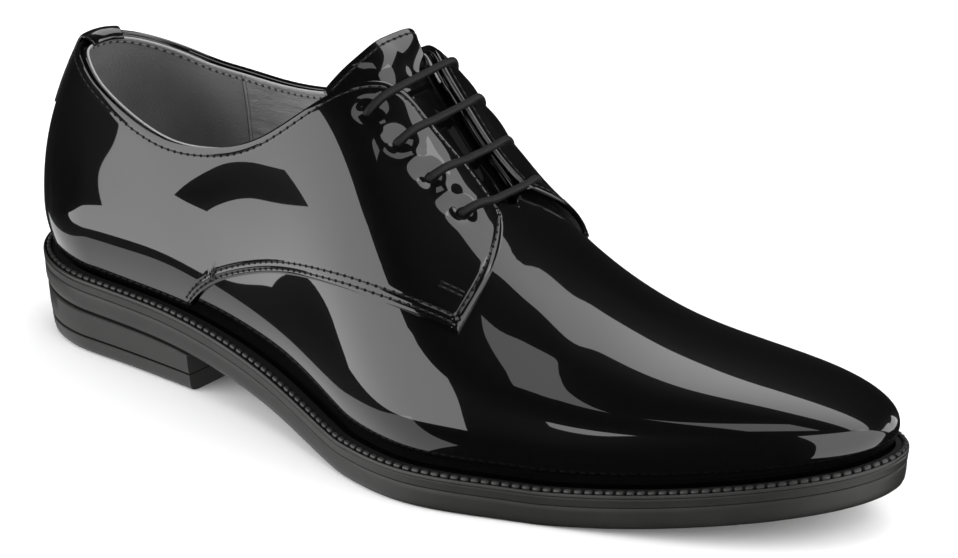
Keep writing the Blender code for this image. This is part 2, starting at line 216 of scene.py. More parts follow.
def cap_faces(columns, first):
    """Quads across one loop of a ring, each between the two points that face each other."""
    i = np.arange(columns // 2)
    return first + np.stack([i, i + 1, (columns - 1 - i) % columns, (columns - i) % columns], -1)


def put(name, points, faces, *materials, closed=True, sharp=40.0, finish=None):
    """Object from points on the foot's stations and quads: doubles merged, smooth but for sharp edges.

    The finish, where given, is the number of each face's material.
    """
    mesh = bpy.data.meshes.new(name)
    mesh.from_pydata((points.reshape(-1, 3) - PLACE).tolist(), [], faces.tolist())
    if finish is not None:
        mesh.polygons.foreach_set("material_index", finish.astype(np.int32))
    shape = bmesh.new()
    shape.from_mesh(mesh)
    bmesh.ops.remove_doubles(shape, verts=shape.verts, dist=MERGE)
    bmesh.ops.dissolve_degenerate(shape, edges=shape.edges, dist=MERGE)
    if closed:
        bmesh.ops.recalc_face_normals(shape, faces=shape.faces)
    shape.to_mesh(mesh)
    shape.free()
    mesh.shade_smooth()
    mesh.set_sharp_from_angle(angle=np.radians(sharp))
    for material in materials:
        mesh.materials.append(material)
    piece = bpy.data.objects.new(name, mesh)
    bpy.context.scene.collection.objects.link(piece)
    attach(piece, "root")
    return piece


def new_finish(name):
    """Node material, with its nodes, its links and its Principled shader."""
    material = bpy.data.materials.new(name)
    material.use_nodes = True
    nodes = material.node_tree.nodes
    return material, nodes, material.node_tree.links, nodes["Principled BSDF"]


def preset(node, **values):
    """Node with constant values on its sockets, whose names have _ for a space here."""
    for socket, value in values.items():
        node.inputs[socket.replace("_", " ")].default_value = value
    return node


def colour_ramp(nodes, stops):
    """Colour ramp through its stops, each a place from 0 to 1 and a colour."""
    node = nodes.new("ShaderNodeValToRGB")
    elements = node.color_ramp.elements
    for place, _ in stops[1:-1]:
        elements.new(place)
    for element, (place, colour) in zip(elements, stops):
        element.position = place
        element.color = (*colour, 1.0)
    return node


def wire(links, *ways):
    """Links from node to node, each way a source, its output, a target and its input."""
    for source, output, target, socket in ways:
        links.new(source.outputs[output], target.inputs[socket])


def rubber_finish(name, dark, light, roughness):
    """Moulded rubber: two close greys in slow blotches, and a fine even grain in the bump."""
    material, nodes, links, shader = new_finish(name)
    place = nodes.new("ShaderNodeTexCoord")
    blotch = preset(nodes.new("ShaderNodeTexNoise"), Scale=60.0, Detail=4.0)
    colours = colour_ramp(nodes, ((0.35, dark), (0.70, light)))
    grain = preset(nodes.new("ShaderNodeTexNoise"), Scale=1800.0, Detail=2.0)
    bump = preset(nodes.new("ShaderNodeBump"), Strength=0.12, Distance=0.0003)
    preset(shader, Roughness=roughness, Specular_IOR_Level=0.35)
    wire(
        links,
        (place, "Object", blotch, "Vector"),
        (place, "Object", grain, "Vector"),
        (blotch, "Fac", colours, "Fac"),
        (colours, "Color", shader, "Base Color"),
        (grain, "Fac", bump, "Height"),
        (bump, "Normal", shader, "Normal"),
    )
    return material


sole_rubber = rubber_finish("sole_rubber", (0.011, 0.0107, 0.0102), (0.0155, 0.0151, 0.0145), 0.48)
sole_q, sole_side = ring(RING_STEPS)
sole_rows = [
    (inset, lambda x, share=share: tread(x) + share * SOLE_THICKNESS)
    for inset, share in SOLE_SIDE
]
sole_points = ring_rows(sole_q, sole_side, sole_rows)
ring_count = len(sole_q)
sole_faces = np.concatenate([
    wrapped_faces(len(SOLE_SIDE), ring_count),
    cap_faces(ring_count, 0),
    cap_faces(ring_count, (len(SOLE_SIDE) - 1) * ring_count),
])
outsole = put("outsole_moulding", sole_points, sole_faces, sole_rubber)
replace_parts(outsole, "outsole")

# Heel: a rubber block under the sole and a top lift under the block, glued, with a fine groove at
# each joint. The breast is cut straight across.
HEEL_BREAST = 0.0827
TOP_LIFT = 0.0057
GAP = 0.0003
HEEL_STEPS = 90
# inset from the plan, height over the floor
LIFT_SIDE = (
    (0.0060, 0.0000),
    (0.0040, 0.0002),
    (0.0031, 0.0006),
    (0.0026, 0.0012),
    (0.0023, 0.0024),
    (0.0019, 0.0052),
    (0.0021, 0.0055),
    (0.0028, 0.0057),
)
# inset from the plan, share of the height from the top lift to the sole
BLOCK_SIDE = (
    (0.0028, 0.00),
    (0.0021, 0.02),
    (0.0018, 0.05),
    (0.0014, 0.35),
    (0.0010, 0.92),
    (0.0013, 0.97),
    (0.0022, 1.00),
)


def heel_layer(name, rows):
    """One layer of the heel: loops from breast to breast round the back, closed across the breast."""
    t = np.linspace(-1, 1, 2 * HEEL_STEPS)
    q = parameter(HEEL_BREAST) * np.abs(t)
    side = np.where(t < 0, OUTER, INNER)
    points = ring_rows(q, side, rows)
    count = len(q)
    i = np.arange(count // 2 - 1)
    across = np.stack([i, i + 1, count - 2 - i, count - 1 - i], -1)
    faces = np.concatenate([wrapped_faces(len(rows), count), across, across + (len(rows) - 1) * count])
    layer = put(name, points, faces, sole_rubber, sharp=35.0)
    return layer


lift_rows = [(inset, lambda x, height=height: height + 0 * x) for inset, height in LIFT_SIDE]
block_rows = [
    (inset, lambda x, share=share: TOP_LIFT + GAP + share * (tread(x) - TOP_LIFT - 2 * GAP))
    for inset, share in BLOCK_SIDE
]
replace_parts(heel_layer("heel_lift_layer", lift_rows), "heel_top_lift")
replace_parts(heel_layer("heel_block_layer", block_rows), "heel_block")

# Welt: a rubber strip all round between upper and sole, glued to both. Its rim is low and rounded, and
# right behind the rim a row of moulded beads, made to look like hand sewing, stands in a channel. The
# channel's rubber is painted near-black as painted shade, and the beads a little paler than the welt as
# painted highlight.
WELT_THICKNESS = 0.003
WELT_CLEAR = 0.0005
BEAD_PITCH = 0.0030
BEAD_SIZE = (0.0013, 0.0008, 0.0008)
BEAD_SHARE = 0.31
BEAD_HEIGHT = 0.0014
# first row of WELT_SIDE in the channel painted near-black as shade, and the first past it
SHADED_CHANNEL_ROWS = (5, 12)
# share of the way from the rim to the upper, height over the sole
WELT_SIDE = (
    (0.00, 0.0003),
    (0.00, 0.0006),
    (0.01, 0.0009),
    (0.03, 0.0011),
    (0.07, 0.0012),
    (0.10, 0.0011),
    (0.13, 0.0008),
    (0.17, 0.0006),
    (0.45, 0.0006),
    (0.52, 0.0010),
    (0.60, 0.0012),
    (1.00, 0.0012),
    (1.00, 0.0003),
    (0.00, 0.0003),
)
# Sections of the last: station, welt's ledge, widest line over the welt, ridge height, ridge's shift
# to the inner side, fullness of the outer side, of the inner side, tuck
LAST = (
    (0.000, 0.0034, 0.0135, 0.1240, 0.0000, -0.09, -0.09, 0.0030),
    (0.040, 0.0031, 0.0170, 0.1240, 0.0005, -0.03, -0.02, 0.0030),
    (0.080, 0.0031, 0.0175, 0.1220, 0.0025, 0.03, 0.04, 0.0030),
    (0.115, 0.0033, 0.0160, 0.1180, 0.0050, 0.04, 0.12, 0.0030),
    (0.135, 0.0030, 0.0150, 0.1125, 0.0060, 0.03, 0.16, 0.0030),
    (0.150, 0.0026, 0.0140, 0.1030, 0.0062, 0.02, 0.13, 0.0030),
    (0.165, 0.0024, 0.0135, 0.0885, 0.0060, 0.01, 0.08, 0.0030),
    (0.180, 0.0022, 0.0130, 0.0740, 0.0052, 0.00, 0.03, 0.0030),
    (0.210, 0.0020, 0.0115, 0.0528, 0.0030, 0.00, -0.01, 0.0030),
    (0.240, 0.0020, 0.0095, 0.0432, 0.0010, 0.03, 0.03, 0.0028),
    (0.270, 0.0025, 0.0070, 0.0424, 0.0002, 0.07, 0.06, 0.0022),
    (0.304, 0.0030, 0.0040, 0.0440, 0.0000, 0.10, 0.08, 0.0012),
)
ledge = curve_through(LAST, 1)
widest = curve_through(LAST, 2)
ridge = curve_through(LAST, 3)
ridge_shift = curve_through(LAST, 4)
outer_fullness = curve_through(LAST, 5)
inner_fullness = curve_through(LAST, 6)
tuck = curve_through(LAST, 7)


def run_along(line):
    """Length along a polyline up to each of its points, the sum of its steps."""
    return np.concatenate([[0.0], np.cumsum(np.linalg.norm(np.diff(line, axis=0), axis=1))])


def even_places(line, pitch, trim=0.0, phase=0.5):
    """Points at an even pitch along a polyline, by its length, and the unit step along it there."""
    length = run_along(line[:, :3])
    first, end = np.broadcast_to(trim, 2)
    free = length[-1] - first - end
    count = max(int(round(free / pitch)), 1)
    at = first + (np.arange(count) + phase) * free / count
    chord = 0.2 * pitch

    def sample(s):
        return np.stack([np.interp(s, length, line[:, k]) for k in range(line.shape[1])], -1)

    step = (sample(at + chord) - sample(at - chord))[:, :3]
    return sample(at), step / np.linalg.norm(step, axis=1, keepdims=True)


def pebbles(centres, along, up, size):
    """Rounded grains, one at each centre: long along, high up and wide across.

    The round section shrinks to a point at both ends as a superellipse.
    """
    rows, around = 5, 8
    power = 2.6
    across = np.cross(up, along)
    reach = np.sin(np.linspace(-np.pi / 2, np.pi / 2, rows))
    turn = np.linspace(0, 2 * np.pi, around, endpoint=False)
    reach, turn = np.meshgrid(reach, turn, indexing="ij")
    swell = (1 - np.abs(reach) ** power) ** (1 / power)
    unit = np.stack([reach, swell * np.cos(turn), swell * np.sin(turn)], -1).reshape(-1, 3)
    axes = np.stack([along * size[0], across * size[1], up * size[2]], 1)
    points = centres[:, None] + np.einsum("pk,nkx->npx", unit, axes)
    first = np.arange(len(centres))[:, None, None] * len(unit)
    return points.reshape(-1, 3), (first + wrapped_faces(rows, around)).reshape(-1, 4)


welt_rubber = rubber_finish("welt_rubber", (0.015, 0.0147, 0.0142), (0.022, 0.0215, 0.021), 0.40)
# near-black copy of the welt rubber: painted shade in the channel behind the beads
channel_painted_shade = rubber_finish("welt_channel_painted_shade", (0.0016, 0.0016, 0.0016), (0.0026, 0.0026, 0.0026), 0.75)
welt_x = station(sole_q)
welt_reach = ledge(welt_x) + tuck(welt_x) - WELT_CLEAR
welt_rows = [
    (share * welt_reach, lambda x, height=height: sole_top(x) + height)
    for share, height in WELT_SIDE
]
welt_points = ring_rows(sole_q, sole_side, welt_rows)
welt_faces = wrapped_faces(len(WELT_SIDE), ring_count)
face_row = np.repeat(np.arange(len(WELT_SIDE) - 1), ring_count)
# faces in the channel, which take the painted shade
in_shaded_channel = (face_row >= SHADED_CHANNEL_ROWS[0]) & (face_row < SHADED_CHANNEL_ROWS[1])
welt = put(
    "welt_strip", welt_points, welt_faces, welt_rubber, channel_painted_shade,
    sharp=50.0, finish=in_shaded_channel,
)
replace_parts(welt, "welt")
bead_row = (BEAD_SHARE * welt_reach, lambda x: sole_top(x) + BEAD_HEIGHT)
bead_line = ring_rows(sole_q, sole_side, [bead_row])[0]
bead_at, bead_along = even_places(np.concatenate([bead_line, bead_line[:1]]), BEAD_PITCH)
bead_up = np.tile([0.0, 0.0, 1.0], (len(bead_at), 1))
# the beads are the welt's own rubber, painted a little paler than the welt as painted highlight
bead_highlight_rubber = rubber_finish("welt_bead_highlight", (0.018, 0.0177, 0.0173), (0.026, 0.0256, 0.0252), 0.34)
beads = put("welt_beads", *pebbles(bead_at, bead_along, bead_up, BEAD_SIZE), bead_highlight_rubber)

# Upper: the vamp and what lies under the quarters, one hollow wall of black patent leather with a grey
# leather lining, lasted over the sole's edge and open at topline and throat.
WALL = 0.002
HEEL_AXIS = 0.046
AXIS_BLEND = 0.010
TOE_CROWN = 0.065
THROAT_BACK = 0.172
THROAT_FRONT = 0.181
TOPLINE_DROP = 0.004
UPPER_SECTIONS = 230
UPPER_ROWS = 74
CREASE_STEPS = 40
RIPPLE = 0.00006
# section levels over the feather edge, and share of the loop at the toe, where the relief fades out
FADE_FOOT = 0.5
FADE_TOE = 0.1
LEATHER_SHARP = 70.0
TINY = 1e-12
PATENT_DARK = (0.0007, 0.0007, 0.0008)
PATENT_LIGHT = (0.0016, 0.0016, 0.0016)
# height, half-width, points of the line: station, place across, height over the floor
VAMP_CREASES = (
    (0.00016, 0.0050, (
        (0.1891, -0.0117, 0.0629),
        (0.1955, -0.0127, 0.0581),
        (0.2044, -0.0131, 0.0524),
        (0.2157, -0.0192, 0.0451),
    )),
    (-0.00010, 0.0060, (
        (0.1920, -0.0040, 0.0620),
        (0.1990, -0.0030, 0.0572),
        (0.2060, 0.0010, 0.0535),
    )),
    (-0.00014, 0.0060, (
        (0.1900, -0.0230, 0.0560),
        (0.2000, -0.0260, 0.0490),
        (0.2090, -0.0310, 0.0410),
    )),
)
LINING_SEAM = 0.0570 - PLACE[0]
SEAM_REACH = 0.0040
# share across the seam, height, grey: darker in the seam's grooves as painted shade, paler on its
# ridges as painted highlight
SEAM_RELIEF_AND_SHADE = (
    (0.00, 0.50, 0.150),
    (0.40, 0.50, 0.140),
    (0.45, 0.10, 0.060),
    (0.50, 0.60, 0.200),
    (0.58, 0.64, 0.220),
    (0.62, 0.20, 0.110),
    (0.67, 0.60, 0.185),
    (1.00, 0.60, 0.185),
)
# station, section level of the topline and facing on the outer side, on the inner side
TOPLINE = (
    (0.0000, 0.510, 0.510),
    (0.0180, 0.480, 0.427),
    (0.0437, 0.373, 0.352),
    (0.0583, 0.320, 0.340),
    (0.0724, 0.296, 0.336),
    (0.0908, 0.321, 0.355),
    (0.1069, 0.385, 0.408),
    (0.1200, 0.488, 0.500),
    (0.1296, 0.611, 0.570),
    (0.1378, 0.747, 0.680),
    (0.1447, 0.834, 0.800),
    (0.1570, 0.875, 0.888),
    (0.1680, 0.901, 0.915),
    (0.1830, 0.895, 0.885),
)
outer_top = curve_through(TOPLINE, 1)
inner_top = curve_through(TOPLINE, 2)


def welt_top(x):
    """Height where the upper leaves the welt."""
    return sole_top(x) + WELT_THICKNESS


def last(q, level, side):
    """Outer face of the upper: level -1 is the feather edge, 0 the widest line and 1 the ridge.

    Over the widest line a section is a quarter ellipse swelled by the fullness, under it a parabola
    that tucks in. Behind the heel's axis the sections fan out around that axis.
    """
    q, level, side = np.broadcast_arrays(q, level, side)
    x = station(q)
    normal = plan_normal(q, side)
    wide = outline(q, side, ledge(x))
    wide_height = welt_top(x) + widest(x)
    rise = (ridge(x) - wide_height) * round_end(x, LENGTH - TOE_CROWN, TOE_CROWN)
    spine = x * (1 - LAST[-1][1] / LENGTH)
    blend = AXIS_BLEND**2 * (1 - x / LENGTH)
    spine = 0.5 * (spine + HEEL_AXIS + np.sqrt((spine - HEEL_AXIS) ** 2 + blend))
    middle = np.stack([spine, swing(x) + ridge_shift(x)], -1)
    angle = np.clip(level, 0, 1) * np.pi / 2
    fullness = np.where(side == OUTER, outer_fullness(x), inner_fullness(x))
    swell = 1 + fullness * np.sin(2 * angle) ** 2
    down = np.clip(-level, 0, 1)
    flat = middle + (wide - middle) * (np.cos(angle) * swell)[..., None]
    flat = flat - normal * (tuck(x) * down**2)[..., None]
    height = wide_height + rise * np.sin(angle) * swell - widest(x) * down
    return np.concatenate([flat, height[..., None]], -1)


def carried_on(q, level, side):
    """Last that goes on to the other side past the back seam and past the ridge."""
    crossed = np.where(q < 0, -1, 1) * np.where(level > 1, -1, 1)
    return last(np.abs(q), np.where(level > 1, 2 - level, level), side * crossed)


def lifted(q, level, side, lift):
    """Last moved out along its own normal, the cross product of two short chords."""
    nudge = 1e-3
    q, level, side, lift = np.broadcast_arrays(q, level, side, lift)
    along = carried_on(q + nudge, level, side) - carried_on(q - nudge, level, side)
    up = carried_on(q, level + nudge, side) - carried_on(q, np.maximum(level - nudge, -1), side)
    normal = np.cross(along, up) * -side[..., None]
    normal = normal / np.maximum(np.linalg.norm(normal, axis=-1, keepdims=True), TINY)
    return last(q, level, side) + normal * lift[..., None]


def top_level(q, side):
    """Section level of the topline and of the facing's edge on one side."""
    x = np.minimum(station(q), TOPLINE[-1][0])
    return np.where(side == OUTER, outer_top(x), inner_top(x))


def opening_level(q, side):
    """Section level where the upper stops: the topline and facing, then a round end at the throat."""
    close = round_end(station(q), THROAT_BACK, THROAT_FRONT - THROAT_BACK)
    return 1 - (1 - top_level(q, side)) * close


def waviness(place):
    """Slow ripple of leather pulled over the last: three sine waves that run across each other.

    Each place is divided by the wave's length along that axis.
    """
    x, y, z = np.moveaxis(place, -1, 0)
    first = np.sin(2 * np.pi * (x / 0.037 + z / 0.049))
    second = np.sin(2 * np.pi * (y / 0.031 - x / 0.057 + 0.3))
    third = np.sin(2 * np.pi * (z / 0.027 + x / 0.083 + 0.6))
    return RIPPLE * (first + second + third) / 3


def smooth_path(points, count):
    """Even points on a Catmull-Rom curve through given points."""
    p = np.concatenate([[2 * points[0] - points[1]], points, [2 * points[-1] - points[-2]]])
    t = np.linspace(0, len(points) - 1 - 1e-9, count)
    i = t.astype(int)
    f = (t - i)[:, None]
    a, b, c, d = p[i], p[i + 1], p[i + 2], p[i + 3]
    square = 2 * a - 5 * b + 4 * c - d
    cube = 3 * b - a - 3 * c + d
    return 0.5 * (2 * b + (c - a) * f + square * f**2 + cube * f**3)


def line_distance(place, line):
    """Distance of each place from a line through listed points."""
    points = smooth_path(np.array(line), CREASE_STEPS)
    return np.linalg.norm(place[..., None, :] - points, axis=-1).min(-1)


def bell(distance, width):
    """Bell curve, 1 at no distance."""
    return np.exp(-((distance / width) ** 2))


def creased(place, creases):
    """Height of the listed soft ridges and troughs, each a bell curve across its line."""
    total = 0.0
    for height, width, line in creases:
        total = total + height * bell(line_distance(place, line), width)
    return total


def patent_finish(name):
    """Patent leather: near-black leather under a clear lacquer, mirror-like with a slow ripple."""
    material, nodes, links, shader = new_finish(name)
    place = nodes.new("ShaderNodeTexCoord")
    ripple = preset(nodes.new("ShaderNodeTexNoise"), Scale=38.0, Detail=0.0)
    bump = preset(nodes.new("ShaderNodeBump"), Strength=0.06, Distance=0.002)
    grain = preset(nodes.new("ShaderNodeTexNoise"), Scale=500.0, Detail=3.0)
    colours = colour_ramp(nodes, ((0.0, PATENT_DARK), (1.0, PATENT_LIGHT)))
    preset(shader, Roughness=0.30, Specular_IOR_Level=0.04)
    preset(shader, Coat_Weight=1.0, Coat_Roughness=0.02, Coat_IOR=1.55)
    wire(
        links,
        (place, "Object", ripple, "Vector"),
        (place, "Object", grain, "Vector"),
        (grain, "Fac", colours, "Fac"),
        (colours, "Color", shader, "Base Color"),
        (ripple, "Fac", bump, "Height"),
        (bump, "Normal", shader, "Normal"),
        (bump, "Normal", shader, "Coat Normal"),
    )
    return material


def lining_finish(name):
    """Lining leather: matt grey with fine pores, seamed, and paler and wrinkled ahead of the seam. The
    seam's grooves are painted darker as painted shade, and its ridges a little paler as painted
    highlight.
    """
    material, nodes, links, shader = new_finish(name)
    place = nodes.new("ShaderNodeTexCoord")
    split = nodes.new("ShaderNodeSeparateXYZ")
    across = nodes.new("ShaderNodeMapRange")
    preset(across, From_Min=LINING_SEAM - SEAM_REACH, From_Max=LINING_SEAM + SEAM_REACH)
    seam = colour_ramp(nodes, [(at, (height, height, height)) for at, height, _ in SEAM_RELIEF_AND_SHADE])
    # grey of the lining across the seam, with painted shade in its grooves and painted highlight on its
    # ridges
    grey = colour_ramp(nodes, [(at, (shade, shade, shade)) for at, _, shade in SEAM_RELIEF_AND_SHADE])
    cloud = preset(nodes.new("ShaderNodeTexNoise"), Scale=45.0, Detail=5.0)
    tint = preset(nodes.new("ShaderNodeMapRange"), To_Min=0.6, To_Max=1.4)
    colour = nodes.new("ShaderNodeVectorMath")
    colour.operation = "SCALE"
    stretch = preset(nodes.new("ShaderNodeMapping"), Scale=(70.0, 90.0, 330.0))
    wrinkle = preset(nodes.new("ShaderNodeTexNoise"), Scale=1.0, Detail=3.0)
    ahead = nodes.new("ShaderNodeMath")
    ahead.operation = "MULTIPLY"
    relief = nodes.new("ShaderNodeMath")
    relief.operation = "ADD"
    pores = preset(nodes.new("ShaderNodeTexVoronoi"), Scale=1400.0)
    fold = preset(nodes.new("ShaderNodeBump"), Strength=0.7, Distance=0.0012)
    bump = preset(nodes.new("ShaderNodeBump"), Strength=0.25, Distance=0.0004)
    preset(shader, Roughness=0.55)
    wire(
        links,
        (place, "Object", split, "Vector"),
        (split, "X", across, "Value"),
        (across, "Result", seam, "Fac"),
        (across, "Result", grey, "Fac"),
        (place, "Object", cloud, "Vector"),
        (cloud, "Fac", tint, "Value"),
        (grey, "Color", colour, 0),
        (tint, "Result", colour, "Scale"),
        (colour, "Vector", shader, "Base Color"),
        (place, "Object", stretch, "Vector"),
        (stretch, "Vector", wrinkle, "Vector"),
        (wrinkle, "Fac", ahead, 0),
        (across, "Result", ahead, 1),
        (ahead, "Value", relief, 0),
        (seam, "Color", relief, 1),
        (relief, "Value", fold, "Height"),
        (place, "Object", pores, "Vector"),
        (pores, "Distance", bump, "Height"),
        (fold, "Normal", bump, "Normal"),
        (bump, "Normal", shader, "Normal"),
    )
    return material


def thicken(piece, thickness, rim=0):
    """Solidify wall inwards from an open sheet, its inner face in the second material."""
    wall = piece.modifiers.new("wall", "SOLIDIFY")
    wall.thickness = thickness
    wall.offset = -1
    wall.material_offset = 1
    wall.material_offset_rim = rim


patent = patent_finish("patent_leather")
lining = lining_finish("lining_leather")
upper_points, upper_faces = [], []
for side in (OUTER, INNER):
    q = np.concatenate([
        np.linspace(0, parameter(THROAT_FRONT), UPPER_SECTIONS // 2),
        np.linspace(parameter(THROAT_FRONT), 1, UPPER_SECTIONS // 2)[1:],
    ])
    side_of = np.full(len(q), side)
    low = np.linspace(-1, 0, UPPER_ROWS // 4)
    high = np.linspace(0, 1, UPPER_ROWS - len(low) + 1)[1:]
    top = opening_level(q, side_of) - TOPLINE_DROP * (station(q) < THROAT_BACK)
    levels = np.concatenate([np.repeat(low[None], len(q), 0), top[:, None] * high], 1)
    grid = last(q[:, None], levels, side_of[:, None])
    fade = np.clip((levels + 1) / FADE_FOOT, 0, 1) * np.clip((1 - q[:, None]) / FADE_TOE, 0, 1)
    lift = fade * (waviness(grid) + creased(grid, VAMP_CREASES))
    grid = lifted(q[:, None], levels, side_of[:, None], lift)
    foot = grid[:, :1].copy()
    foot[:, 0, 2] = sole_top(station(q)) + GAP
    grid = np.concatenate([foot, grid], 1)
    faces = grid_faces(*grid.shape[:2], first=sum(len(p) for p in upper_points))
    upper_points.append(grid.reshape(-1, 3))
    upper_faces.append(faces[:, ::-1] if side == INNER else faces)
upper = put(
    "vamp", np.concatenate(upper_points), np.concatenate(upper_faces), patent, lining,
    closed=False, sharp=LEATHER_SHARP,
)
thicken(upper, WALL)
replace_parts(upper, "upper")

# Insole: a board covered in the same grey lining leather. It lies on the sole inside the upper, whose
# lasted edge it hides.
INSOLE_THICKNESS = 0.003
# further inset, share of the thickness
INSOLE_SIDE = ((0.0004, 0.0), (0.0000, 0.3), (0.0000, 0.7), (0.0003, 0.9), (0.0009, 1.0))
insole_inset = ledge(welt_x) + tuck(welt_x) + WALL + 2 * GAP
insole_rows = [
    (insole_inset + more, lambda x, share=share: sole_top(x) + GAP + share * INSOLE_THICKNESS)
    for more, share in INSOLE_SIDE
]
insole_faces = np.concatenate([
    wrapped_faces(len(INSOLE_SIDE), ring_count),
    cap_faces(ring_count, 0),
    cap_faces(ring_count, (len(INSOLE_SIDE) - 1) * ring_count),
])
insole = put("sock_lining", ring_rows(sole_q, sole_side, insole_rows), insole_faces, lining)
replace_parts(insole, "insole")

# Quarters: two panels of the same patent leather, lapped over the vamp and sewn down along their curved
# lower edge. Their front edges are the facings, free of the vamp at the throat.
QUARTER_OUT = 0.0021
QUARTER_IN = 0.0004
QUARTER_FRONT = {OUTER: 0.192, INNER: 0.183}
FACING_FRONT = {OUTER: THROAT_FRONT, INNER: 0.1782}
QUARTER_BACK = 0.000004
QUARTER_FOOT = 0.0010
FRONT_CURVE = 2.6
FRONT_ROUND = 0.7
FRONT_DRAW = 8
QUARTER_ROWS = 110
# station, number of sections up to it
QUARTER_STEPS = ((0.0770, 60), (0.0930, 60), (0.1600, 80), (0.1810, 70))
EYELET_DENT = {OUTER: 0.0013, INNER: 0.0006}
BETWEEN_SWELL = {OUTER: 0.0006, INNER: 0.0001}
EYELET_REACH = 0.0030
FACING_STEP = 0.0004
FACING_SOFT = 0.0008
FOOT_BLEND = 0.002
HALVINGS = 34
GROOVE_DEPTH = 0.00010
GROOVE_WIDTH = 0.00055
EDGE_ROLL = 0.00035
EDGE_REACH = 0.0007
# how far the inner facing stands off at its front edge, and the length over which that fades
FLARE = 0.0014
FLARE_REACH = 0.008
# station, distance of the stiffener's edge from the facing's edge, share of its step
FACING = (
    (0.1380, 0.0140, 0.0),
    (0.1436, 0.0147, 1.0),
    (0.1542, 0.0167, 1.0),
    (0.1649, 0.0164, 1.0),
    (0.1754, 0.0148, 0.8),
    (0.1830, 0.0125, 0.0),
)
# distance of each stitch row from the edge
FOOT_ROWS = (0.0015, 0.0036)
TOP_ROW = 0.0026
FRONT_ROW = 0.0026
TACK_ROWS = (0.0100, 0.0114)
TACK_LENGTH = 0.011
# station, height of the lower edge over the floor
QUARTER_EDGE = (
    (0.0812, 0.0276),
    (0.0841, 0.0309),
    (0.0901, 0.0364),
    (0.0950, 0.0399),
    (0.1022, 0.0437),
    (0.1123, 0.0479),
    (0.1216, 0.0511),
    (0.1330, 0.0539),
    (0.1461, 0.0559),
    (0.1576, 0.0566),
    (0.1649, 0.0562),
    (0.1745, 0.0549),
    (0.1860, 0.0520),
    (0.1920, 0.0498),
)
# station, section level of the outer eyelet, of the inner eyelet
EYELETS = (
    (0.1436, 0.687, 0.610),
    (0.1542, 0.713, 0.640),
    (0.1649, 0.743, 0.670),
    (0.1754, 0.771, 0.700),
)
quarter_edge = curve_through(QUARTER_EDGE, 1)


def level_at(q, side, height):
    """Section level at a height over the floor, by halving."""
    low, high = np.full(q.shape, -1.0), np.full(q.shape, 1.0)
    for _ in range(HALVINGS):
        middle = (low + high) / 2
        under = last(q, middle, side)[..., 2] < height
        low, high = np.where(under, middle, low), np.where(under, high, middle)
    return low


def quarter_low(q, side):
    """Section level of a quarter's lower edge, along the welt behind the heel breast."""
    x = station(q)
    start = QUARTER_EDGE[0][0]
    height = np.where(x < start, welt_top(x) + QUARTER_FOOT, quarter_edge(np.maximum(x, start)))
    return level_at(q, side, height)


def eyelet_centres(side):
    """Points of the quarter's face at its four eyelets."""
    table = np.array(EYELETS)
    levels = table[:, 1] if side == OUTER else table[:, 2]
    return lifted(parameter(table[:, 0]), levels, np.full(len(EYELETS), side), QUARTER_OUT)


def run_from(sheet, edge):
    """Distance of each point of a sheet from one edge, summed along the grid line that leaves it."""
    turned = {"foot": sheet, "top": sheet[:, ::-1], "front": sheet[::-1].transpose(1, 0, 2)}[edge]
    steps = np.linalg.norm(np.diff(turned, axis=1), axis=-1)
    run = np.concatenate([np.zeros((len(turned), 1)), np.cumsum(steps, axis=1)], 1)
    return {"foot": run, "top": run[:, ::-1], "front": run.T[::-1]}[edge]


